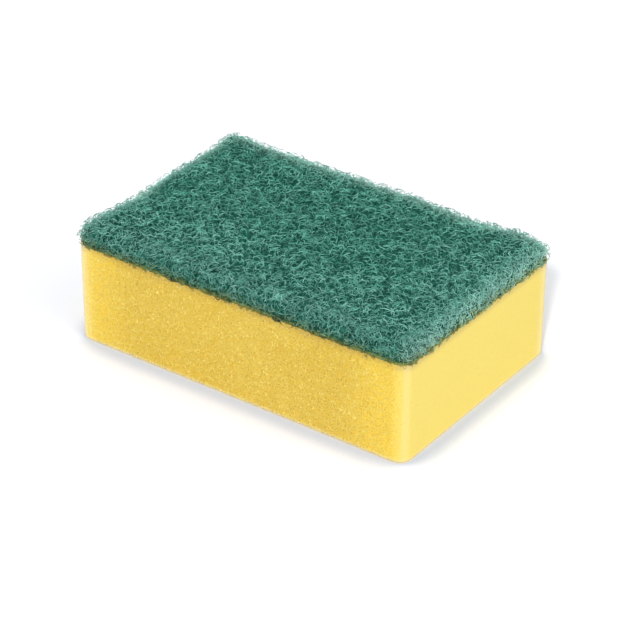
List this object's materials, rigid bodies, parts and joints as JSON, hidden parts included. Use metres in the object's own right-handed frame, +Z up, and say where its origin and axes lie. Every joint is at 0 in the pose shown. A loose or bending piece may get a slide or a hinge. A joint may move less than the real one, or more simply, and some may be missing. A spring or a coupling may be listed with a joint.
{
  "type": "cleaning sponge",
  "caption": "Rectangular two-sided cleaning sponge: a soft foam block with a thin green scouring pad of tangled fibres glued flat over its top face.",
  "frame": {"origin": "centre of the foam's flat underside", "axes": "+X along the length, +Y along the width, +Z up from the foam through the scouring pad"},
  "size_m": [0.1006, 0.0654, 0.0327],
  "materials": {
    "foam": "yellow open-cell polyurethane foam, cut faces with fine open cells, matt and slightly translucent",
    "adhesive": "dark olive film of soaked-in adhesive, matt",
    "scouring_web": "green non-woven web of curled fibres coated with resin and fine abrasive, matt with dark gaps"
  },
  "bodies": {
    "root": {"foam_block": "foam", "adhesive_film": "adhesive", "scouring_pad": "scouring_web"}
  },
  "joints": []
}
